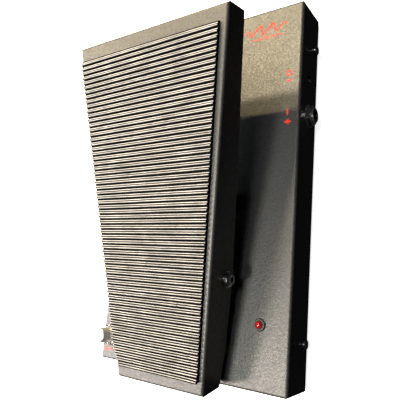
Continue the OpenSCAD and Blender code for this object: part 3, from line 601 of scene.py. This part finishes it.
BASE_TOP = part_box("chassis_shell")[1].z
INK_T = 0.05 * MM
INK_SINK = 0.01 * MM        # a mark starts this far inside the paint
RING_STEPS = 36
RING_SPAN = 360 * 0.997     # degrees
WAVE_STEPS = 56


def plate(name, outline, low, high, material, body):
    """A flat closed piece from one outline of (x, y) points."""
    n = len(outline)
    verts = [(x, y, low) for x, y in outline] + [(x, y, high) for x, y in outline]
    faces = [tuple(range(n - 1, -1, -1)), tuple(range(n, 2 * n))]
    faces += [(i, (i + 1) % n, n + (i + 1) % n, n + i) for i in range(n)]
    return piece(name, verts, faces, material, body)


def stroke(points, width):
    """The outline of a line of that width through the points, thinner at its ends."""
    left, right = [], []
    for i, p in enumerate(points):
        a, b = Vector(points[max(i - 1, 0)]), Vector(points[min(i + 1, len(points) - 1)])
        along = (b - a).normalized()
        side = Vector((-along.y, along.x)) * width / 2
        side *= min(1.0, 0.35 + 2.6 * min(i, len(points) - 1 - i) / len(points))
        left.append((p[0] + side.x, p[1] + side.y))
        right.append((p[0] - side.x, p[1] - side.y))
    return left + right[::-1]


def ink(name, outline, x, y, material=None):
    """A printed mark on the base's top, at (x, y) in mm from the base's middle."""
    moved = [((x + px) * MM, (y + py) * MM + BASE_Y) for px, py in outline]
    low, high = BASE_TOP - INK_SINK, BASE_TOP + INK_T
    return plate(name, moved, low, high, material or INK_RED, "base")


def bar(width, length):
    """A rectangle around its middle."""
    x, y = width / 2, length / 2
    return [(-x, -y), (x, -y), (x, y), (-x, y)]


def ring(radius, width):
    """A ring as one outline, so it keeps a hair-thin slit."""
    span = [math.radians(RING_SPAN * i / RING_STEPS) for i in range(RING_STEPS + 1)]
    outer = [((radius + width / 2) * math.cos(a), (radius + width / 2) * math.sin(a)) for a in span]
    inner = [((radius - width / 2) * math.cos(a), (radius - width / 2) * math.sin(a)) for a in span]
    return outer + inner[::-1]


def wave_line(length, height, width, cycles, lean):
    """A leaning wave that dies away at both ends."""
    points = []
    for i in range(WAVE_STEPS + 1):
        t = i / WAVE_STEPS
        y = height * math.sin(2 * math.pi * cycles * t) * math.sin(math.pi * t) ** 0.5
        points.append((length * (t - 0.5) + lean * y, y))
    return stroke(points, width)


ARROW = [(-2.2, 0), (1.4, 2.2), (0.7, 0.55), (2.4, 0.55), (2.4, -0.55), (0.7, -0.55), (1.4, -2.2)]
KNOB_X = -62.5              # mm, both controls
DIAL_R = 8.6                # mm, the ticks' circle
DIAL_TICKS = 7
DIAL_LOW, DIAL_STEP = -60, 50   # degrees
POINTER_HALF = 0.36 * MM
POINTER_L = 4.9 * MM
POINTER_SINK = 0.5 * MM     # how far the pointer reaches into the knob's top
POINTER_BELOW = 0.15 * MM   # and how far its face stays below it

# A wave motif at the toe, an arrow into each jack, a round inlet mark and a ring by the footswitch
ink("mark_wave_large", wave_line(34, 3.4, 1.5, 3.5, 0.35), 47, 110.6)
ink("mark_wave_small", wave_line(24, 1.1, 0.8, 5, 0.2), 49, 104.2)
ink("mark_inlet_ring", ring(1.7, 0.9), 66.6, 74.4)
ink("mark_inlet_bar", bar(3.8, 1.0), 66.8, 69.2)
ink("mark_in_stem", bar(1.0, 4.4), 66.5, 47.6)
ink("mark_in_arrow", ARROW, 66.6, 41)
ink("mark_out_arrow", ARROW, -66.6, 44)
ink("mark_switch_ring", ring(1.3, 0.7), -69.6, -117.3)
ink("mark_switch_bar", bar(3.4, 0.8), -64.8, -117.3)
for control, mid_y in (("level", 28.0), ("contour", -5.0)):
    for k in range(DIAL_TICKS):
        angle = math.radians(DIAL_LOW + DIAL_STEP * k)
        ca, sa = math.cos(angle), math.sin(angle)
        x = KNOB_X + DIAL_R * math.cos(angle + math.pi / 2)
        y = mid_y + DIAL_R * math.sin(angle + math.pi / 2)
        tick = [(px * ca - py * sa, px * sa + py * ca) for px, py in bar(0.4, 1.4)]
        ink(f"mark_{control}_tick_{k}", tick, x, y, INK_WHITE)

for control in ("level", "contour"):
    low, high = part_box(control + "_knob")
    x, y, top = (low.x + high.x) / 2, (low.y + high.y) / 2, high.z
    line = [(x - POINTER_HALF, y), (x + POINTER_HALF, y),
            (x + POINTER_HALF, y + POINTER_L), (x - POINTER_HALF, y + POINTER_L)]
    plate(control + "_pointer", line, top - POINTER_SINK, top - POINTER_BELOW,
          INK_WHITE, control + "_control")


# ---------- camera, floor and light ----------

CAMERA = Vector((0.181568, -0.061495, 0.283411))
LOOK = Vector((-0.56659691, 0.17780612, -0.80458246))
UP = Vector((0.03522595, 0.98077492, 0.19193666))
LENS = 40.505               # mm, on a sensor 36 mm wide
cam = bpy.data.objects.new("camera", bpy.data.cameras.new("camera"))
bpy.context.scene.collection.objects.link(cam)
cam.data.lens = LENS
cam.data.sensor_width = 36.0
cam.data.clip_start = 0.01
right = LOOK.cross(UP).normalized()
up = right.cross(LOOK).normalized()
turn = Matrix((right, up, -LOOK.normalized())).transposed().to_4x4()
cam.matrix_world = Matrix.Translation(CAMERA) @ turn
bpy.context.scene.camera = cam


# Round area lights: name, place, aim, diameter, watts, colour
LIGHTS = [
    ("key_toe", (-0.464, 0.590, 0.900), (0.02, 0.0, 0.05), 0.05, 2.0, (1.0, 0.60, 0.25)),
    ("key_toe_far", (-0.450, 0.786, 0.900), (0.02, 0.0, 0.05), 0.05, 9.0, (1.0, 0.80, 0.44)),
    ("soft_toe", (-0.30, 0.71, 1.10), (0.0, 0.0, 0.04), 0.12, 16.5, (1.0, 0.89, 0.64)),
    ("left_toe", (-0.80, 0.22, 0.78), (0.0, 0.0, 0.05), 0.20, 9.0, (1.0, 0.82, 0.55)),
    ("soft_heel", (-0.10, -0.42, 1.06), (0.0, -0.02, 0.04), 0.20, 15.5, (1.0, 0.99, 0.88)),
    ("left_heel", (-0.62, -0.50, 0.88), (0.0, -0.05, 0.05), 0.20, 18, (1.0, 0.87, 0.80)),
    ("left_side", (-0.95, -0.12, 0.40), (0.0, 0.0, 0.04), 0.40, 13, (0.90, 0.97, 1.0)),
    ("over_base", (0.24, 0.06, 1.20), (0.06, 0.0, 0.04), 0.30, 4.2, (0.94, 0.95, 1.0)),
]


def light(name, place, target, size, watts, colour):
    data = bpy.data.lights.new(name, "AREA")
    data.shape = "DISK"
    data.size = size
    data.energy = watts
    data.color = colour
    obj = bpy.data.objects.new(name, data)
    bpy.context.scene.collection.objects.link(obj)
    obj.location = place
    obj.rotation_mode = "QUATERNION"
    obj.rotation_quaternion = (Vector(target) - Vector(place)).to_track_quat("-Z", "Y")
    obj.visible_camera = False


for row in LIGHTS:
    light(*row)


FLOOR_HALF = 3.0
FLOOR_GLOW = 0.88           # keeps the floor pale where the part shades it
ROOM_LIGHT = 0.014          # the dim room, as the part sees it; the camera sees white


def floor():
    """The pale floor. The part neither mirrors it nor takes light from it."""
    mesh = bpy.data.meshes.new("floor")
    corners = [(-FLOOR_HALF, -FLOOR_HALF, 0), (FLOOR_HALF, -FLOOR_HALF, 0),
               (FLOOR_HALF, FLOOR_HALF, 0), (-FLOOR_HALF, FLOOR_HALF, 0)]
    mesh.from_pydata(corners, [], [(0, 1, 2, 3)])
    s = Shader("floor_pale", (0.82, 0.82, 0.81), 0.9)
    s.set("Base Color", s.mix(s.noise(40, 3.0), (0.84, 0.84, 0.83), (0.80, 0.80, 0.79)))
    s.set("Emission Color", (1.0, 1.0, 1.0))
    s.set("Emission Strength", FLOOR_GLOW)
    mesh.materials.append(s.done())
    obj = bpy.data.objects.new("floor", mesh)
    bpy.context.scene.collection.objects.link(obj)
    obj.visible_diffuse = False
    obj.visible_glossy = False


floor()


def world():
    """White where the camera sees it, a dim even light for everything else."""
    made = bpy.data.worlds.new("studio")
    bpy.context.scene.world = made
    made.use_nodes = True
    tree = made.node_tree
    tree.nodes.clear()
    out = tree.nodes.new("ShaderNodeOutputWorld")
    seen, lit = tree.nodes.new("ShaderNodeBackground"), tree.nodes.new("ShaderNodeBackground")
    seen.inputs["Color"].default_value = (1, 1, 1, 1)
    lit.inputs["Color"].default_value = (0.95, 0.97, 1.0, 1)
    lit.inputs["Strength"].default_value = ROOM_LIGHT
    mixed = tree.nodes.new("ShaderNodeMixShader")
    tree.links.new(tree.nodes.new("ShaderNodeLightPath").outputs["Is Camera Ray"], mixed.inputs[0])
    tree.links.new(lit.outputs[0], mixed.inputs[1])
    tree.links.new(seen.outputs[0], mixed.inputs[2])
    tree.links.new(mixed.outputs[0], out.inputs["Surface"])


world()
bpy.context.scene.view_settings.view_transform = "Standard"
